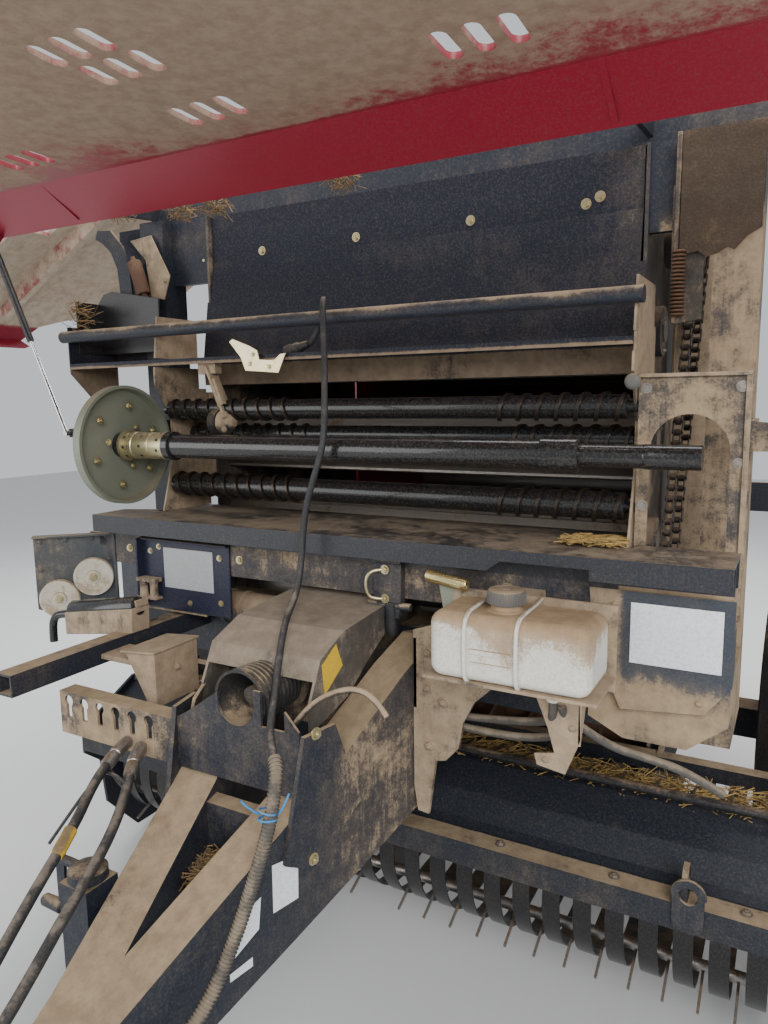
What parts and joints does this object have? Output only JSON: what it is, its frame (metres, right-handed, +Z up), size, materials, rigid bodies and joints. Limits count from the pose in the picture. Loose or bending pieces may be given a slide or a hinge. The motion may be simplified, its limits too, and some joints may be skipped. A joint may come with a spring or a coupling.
{
  "type": "round baler",
  "caption": "Trailed fixed-chamber round baler with its hood and side doors raised: net-wrap bay, pick-up, drawbar with hitch ring, drive input shaft and hinged tailgate.",
  "frame": {"origin": "on the ground under the middle of the machine's box", "axes": "+X towards the machine's left side, -Y towards the hitch, +Z up"},
  "size_m": [3.777, 4.01, 2.39],
  "materials": {
    "tan_paint": "satin, dusty",
    "red_paint": "satin",
    "blue_paint": "satin",
    "black_paint": "satin",
    "bare_steel": "worn",
    "zinc": "yellow zinc",
    "chrome_rod": "polished",
    "cast": "rough, dusty",
    "tyre": "matt",
    "rim_paint": "satin",
    "tank_plastic": "translucent",
    "black_plastic": "matt",
    "lamp_plastic": "gloss",
    "black_rubber": "matt"
  },
  "bodies": {
    "frame": {"chamber_plates": "tan_paint", "front_rollers": "bare_steel", "feed_floor": "bare_steel", "front_frame": "tan_paint", "roof_panel": "blue_paint", "axle_beam": "tan_paint", "drawbar": "tan_paint", "hitch_ring": "bare_steel", "hose_bracket": "tan_paint", "gearbox": "cast", "gearbox_guard": "black_paint", "twine_shelf": "tan_paint", "shelf_rail": "tan_paint", "net_side_plates": "tan_paint", "net_tray": "tan_paint", "chain_sprockets": "bare_steel", "drive_chain": "bare_steel", "oil_tank": "tank_plastic", "tank_bracket": "tan_paint", "side_boxes": "tan_paint", "pulley_board": "tan_paint", "twine_pulleys": "tan_paint", "control_cable": "black_rubber", "conduit_bundle": "black_plastic", "hose_outer": "black_rubber", "hose_inner": "black_rubber"},
    "gate": {"gate_plates": "red_paint", "gate_shell": "red_paint", "gate_rollers": "bare_steel", "light_bar": "tan_paint", "rear_lamps": "lamp_plastic"},
    "gate_barrel_left": {"gate_barrel_left": "black_paint"},
    "gate_barrel_right": {"gate_barrel_right": "black_paint"},
    "gate_rod_left": {"gate_rod_left": "chrome_rod"},
    "gate_rod_right": {"gate_rod_right": "chrome_rod"},
    "wheel_left": {"tyre_left": "tyre", "rim_left": "rim_paint"},
    "wheel_right": {"tyre_right": "tyre", "rim_right": "rim_paint"},
    "hood": {"hood": "red_paint"},
    "door_left": {"door_left": "red_paint"},
    "door_right": {"door_right": "red_paint"},
    "strut_barrel_left": {"strut_barrel_left": "black_paint"},
    "strut_barrel_right": {"strut_barrel_right": "black_paint"},
    "strut_rod_left": {"strut_rod_left": "chrome_rod"},
    "strut_rod_right": {"strut_rod_right": "chrome_rod"},
    "pickup": {"pickup_frame": "tan_paint", "strippers": "bare_steel", "wind_guard": "bare_steel"},
    "gauge_wheel_left": {"gauge_wheel_left": "tyre"},
    "gauge_wheel_right": {"gauge_wheel_right": "tyre"},
    "pickup_reel": {"pickup_reel": "bare_steel"},
    "feed_rotor": {"feed_rotor": "bare_steel"},
    "jack_leg": {"jack_leg": "black_paint"},
    "net_shaft": {"net_shaft": "zinc", "net_disc": "black_paint"},
    "net_roller_upper": {"net_roller_upper": "zinc"},
    "net_roller_lower": {"net_roller_lower": "zinc"},
    "net_roller_back": {"net_roller_back": "zinc"}
  },
  "joints": [
    {"name": "wheel_left_spin", "type": "hinge", "parent": "frame", "child": "wheel_left", "pos_m": [1.08, 1.205, 0.46], "axis": [1, 0, 0], "continuous": true},
    {"name": "wheel_right_spin", "type": "hinge", "parent": "frame", "child": "wheel_right", "pos_m": [-1.08, 1.205, 0.46], "axis": [1, 0, 0], "continuous": true},
    {"name": "gate_lift", "type": "hinge", "parent": "frame", "child": "gate", "pos_m": [0, 1.055, 2.358], "axis": [1, 0, 0], "range_deg": [0, 65]},
    {"name": "hood_lift", "type": "hinge", "parent": "frame", "child": "hood", "pos_m": [0, 0.03, 2.098], "axis": [1, 0, 0], "range_deg": [0, 65]},
    {"name": "door_left_lift", "type": "hinge", "parent": "frame", "child": "door_left", "pos_m": [1.06, 0.5, 2.245], "axis": [0, 1, 0], "range_deg": [0, 63]},
    {"name": "door_right_lift", "type": "hinge", "parent": "frame", "child": "door_right", "pos_m": [-1.06, 0.5, 2.245], "axis": [0, 1, 0], "range_deg": [-63, 0]},
    {"name": "pickup_lift", "type": "hinge", "parent": "frame", "child": "pickup", "pos_m": [0, 0.76, 0.56], "axis": [1, 0, 0], "range_deg": [-15, 0]},
    {"name": "pickup_reel_spin", "type": "hinge", "parent": "pickup", "child": "pickup_reel", "pos_m": [0, 0.285, 0.36], "axis": [1, 0, 0], "continuous": true},
    {"name": "gauge_wheel_left_spin", "type": "hinge", "parent": "pickup", "child": "gauge_wheel_left", "pos_m": [1.105, 0.47, 0.162], "axis": [1, 0, 0], "continuous": true},
    {"name": "gauge_wheel_right_spin", "type": "hinge", "parent": "pickup", "child": "gauge_wheel_right", "pos_m": [-1.105, 0.47, 0.162], "axis": [1, 0, 0], "continuous": true},
    {"name": "feed_rotor_spin", "type": "hinge", "parent": "frame", "child": "feed_rotor", "pos_m": [0, 0.76, 0.56], "axis": [1, 0, 0], "continuous": true},
    {"name": "jack_raise", "type": "slide", "parent": "frame", "child": "jack_leg", "axis": [0, 0, 1], "range_m": [0, 0.2]},
    {"name": "net_shaft_spin", "type": "hinge", "parent": "frame", "child": "net_shaft", "pos_m": [-0.65, -0.095, 1.44], "axis": [1, 0, 0], "continuous": true},
    {"name": "net_roller_upper_spin", "type": "hinge", "parent": "frame", "child": "net_roller_upper", "pos_m": [0, 0.067, 1.53], "axis": [1, 0, 0], "continuous": true},
    {"name": "net_roller_lower_spin", "type": "hinge", "parent": "frame", "child": "net_roller_lower", "pos_m": [0, 0.075, 1.322], "axis": [1, 0, 0], "continuous": true},
    {"name": "net_roller_back_spin", "type": "hinge", "parent": "frame", "child": "net_roller_back", "pos_m": [0, 0.158, 1.46], "axis": [1, 0, 0], "continuous": true},
    {"name": "gate_barrel_left_swing", "type": "hinge", "parent": "frame", "child": "gate_barrel_left", "pos_m": [0.692, 0.9, 1.15], "axis": [1, 0, 0], "range_deg": [-1, 5.66]},
    {"name": "gate_rod_left_slide", "type": "slide", "parent": "gate_barrel_left", "child": "gate_rod_left", "axis": [0, 0.4053, 0.9142], "range_m": [-0.01, 0.39535]},
    {"name": "strut_barrel_left_swing", "type": "hinge", "parent": "door_left", "child": "strut_barrel_left", "pos_m": [1.38967, 0.084, 2.07702], "axis": [0, 1, 0], "range_deg": [-95.56, 2]},
    {"name": "strut_rod_left_slide", "type": "slide", "parent": "strut_barrel_left", "child": "strut_rod_left", "axis": [-0.4238, 0, -0.9057], "range_m": [-0.27053, 0.006]},
    {"name": "gate_barrel_right_swing", "type": "hinge", "parent": "frame", "child": "gate_barrel_right", "pos_m": [-0.692, 0.9, 1.15], "axis": [1, 0, 0], "range_deg": [-1, 5.66]},
    {"name": "gate_rod_right_slide", "type": "slide", "parent": "gate_barrel_right", "child": "gate_rod_right", "axis": [0, 0.4053, 0.9142], "range_m": [-0.01, 0.39535]},
    {"name": "strut_barrel_right_swing", "type": "hinge", "parent": "door_right", "child": "strut_barrel_right", "pos_m": [-1.38967, 0.084, 2.07702], "axis": [0, 1, 0], "range_deg": [-2, 95.56]},
    {"name": "strut_rod_right_slide", "type": "slide", "parent": "strut_barrel_right", "child": "strut_rod_right", "axis": [0.4238, 0, -0.9057], "range_m": [-0.27053, 0.006]}
  ],
  "couplings": [
    {"joint": "gate_barrel_left_swing", "follows": "gate_lift", "ratio": 0.06406},
    {"joint": "gate_rod_left_slide", "follows": "gate_lift", "m_per_rad": 0.33527},
    {"joint": "strut_barrel_left_swing", "follows": "door_left_lift", "ratio": -1.485},
    {"joint": "strut_rod_left_slide", "follows": "door_left_lift", "m_per_rad": -0.24058},
    {"joint": "gate_barrel_right_swing", "follows": "gate_lift", "ratio": 0.06406},
    {"joint": "gate_rod_right_slide", "follows": "gate_lift", "m_per_rad": 0.33527},
    {"joint": "strut_barrel_right_swing", "follows": "door_right_lift", "ratio": -1.485},
    {"joint": "strut_rod_right_slide", "follows": "door_right_lift", "m_per_rad": 0.24058},
    {"joint": "net_roller_lower_spin", "follows": "net_roller_upper_spin", "ratio": -0.85714},
    {"joint": "net_roller_back_spin", "follows": "net_roller_upper_spin", "ratio": 1}
  ]
}
